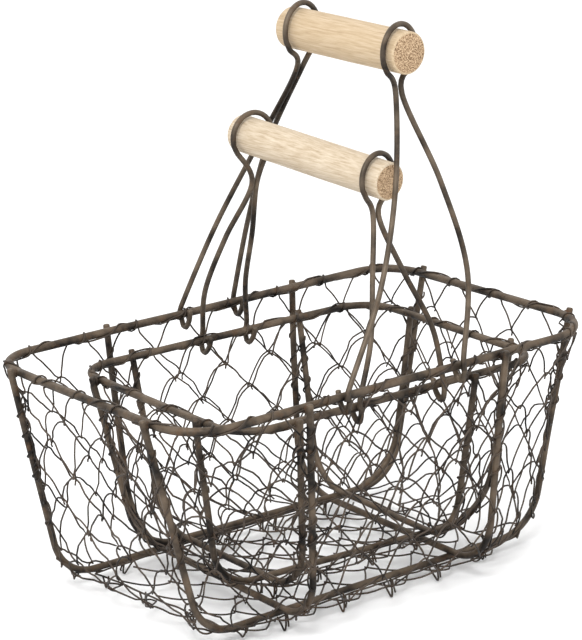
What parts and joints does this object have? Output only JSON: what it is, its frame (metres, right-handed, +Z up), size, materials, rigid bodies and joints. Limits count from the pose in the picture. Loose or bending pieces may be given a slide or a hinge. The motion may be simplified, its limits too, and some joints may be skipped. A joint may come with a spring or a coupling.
{
  "type": "egg collection basket",
  "caption": "Nested pair of rectangular wire baskets with wire netting and swaying two-loop handles on wooden grips.",
  "frame": {"origin": "centre of the larger basket's flat underside, on the surface it stands on", "axes": "+Z up, +X along the length to the right seen from the front, +Y from the front to the back along the grips"},
  "size_m": [0.315, 0.206, 0.3313],
  "materials": {
    "aged_wire": "satin, browned and unevenly rusted",
    "netting_wire": "satin, browned and unevenly rusted",
    "pale_wood": "bare, sanded"
  },
  "bodies": {
    "large_basket": {"large_rim": "aged_wire", "large_rib_lengthwise_front": "aged_wire", "large_rib_lengthwise_back": "aged_wire", "large_rib_crosswise_left": "aged_wire", "large_rib_crosswise_right": "aged_wire", "large_netting_left": "netting_wire", "large_netting_right": "netting_wire", "large_netting_front": "netting_wire", "large_netting_back": "netting_wire", "large_netting_floor": "netting_wire"},
    "large_front_wire": {"large_bail_front": "aged_wire"},
    "large_handle": {"large_grip": "pale_wood"},
    "large_back_wire": {"large_bail_back": "aged_wire"},
    "small_basket": {"small_rim": "aged_wire", "small_rib_lengthwise_front": "aged_wire", "small_rib_lengthwise_back": "aged_wire", "small_rib_crosswise_left": "aged_wire", "small_rib_crosswise_right": "aged_wire", "small_netting_left": "netting_wire", "small_netting_right": "netting_wire", "small_netting_front": "netting_wire", "small_netting_back": "netting_wire", "small_netting_floor": "netting_wire"},
    "small_front_wire": {"small_bail_front": "aged_wire"},
    "small_handle": {"small_grip": "pale_wood"},
    "small_back_wire": {"small_bail_back": "aged_wire"}
  },
  "joints": [
    {"name": "large_handle_sway", "type": "hinge", "parent": "large_basket", "child": "large_front_wire", "pos_m": [0, -0.09475, 0.137], "axis": [-1, 0, 0], "range_deg": [0, 6]},
    {"name": "large_handle_turn", "type": "hinge", "parent": "large_front_wire", "child": "large_handle", "pos_m": [0.02, -0.0682, 0.31342], "axis": [-1, 0, 0], "range_deg": [-13.5, 0]},
    {"name": "large_back_wire_sway", "type": "hinge", "parent": "large_basket", "child": "large_back_wire", "pos_m": [0, 0.09475, 0.137], "axis": [-1, 0, 0], "range_deg": [0, 5.5]},
    {"name": "small_basket_lift", "type": "slide", "parent": "large_basket", "child": "small_basket", "axis": [0, 0, 1], "range_m": [0, 0.007]},
    {"name": "small_handle_sway", "type": "hinge", "parent": "small_basket", "child": "small_front_wire", "pos_m": [0.00178, -0.08267, 0.1243], "axis": [-0.9996, 0.0279, 0], "range_deg": [0, 6.5]},
    {"name": "small_handle_turn", "type": "hinge", "parent": "small_front_wire", "child": "small_handle", "pos_m": [0.00956, -0.06063, 0.2431], "axis": [-0.9996, 0.0279, 0], "range_deg": [-9.6, 0]},
    {"name": "small_back_wire_sway", "type": "hinge", "parent": "small_basket", "child": "small_back_wire", "pos_m": [0.00622, 0.07627, 0.1243], "axis": [-0.9996, 0.0279, 0], "range_deg": [0, 5.6]}
  ],
  "couplings": [
    {"joint": "large_handle_turn", "follows": "large_handle_sway", "ratio": -2.19},
    {"joint": "large_back_wire_sway", "follows": "large_handle_sway", "ratio": 0.9},
    {"joint": "small_handle_sway", "follows": "large_handle_sway", "ratio": 1.05},
    {"joint": "small_handle_turn", "follows": "large_handle_sway", "ratio": -1.572},
    {"joint": "small_back_wire_sway", "follows": "large_handle_sway", "ratio": 0.9135}
  ]
}
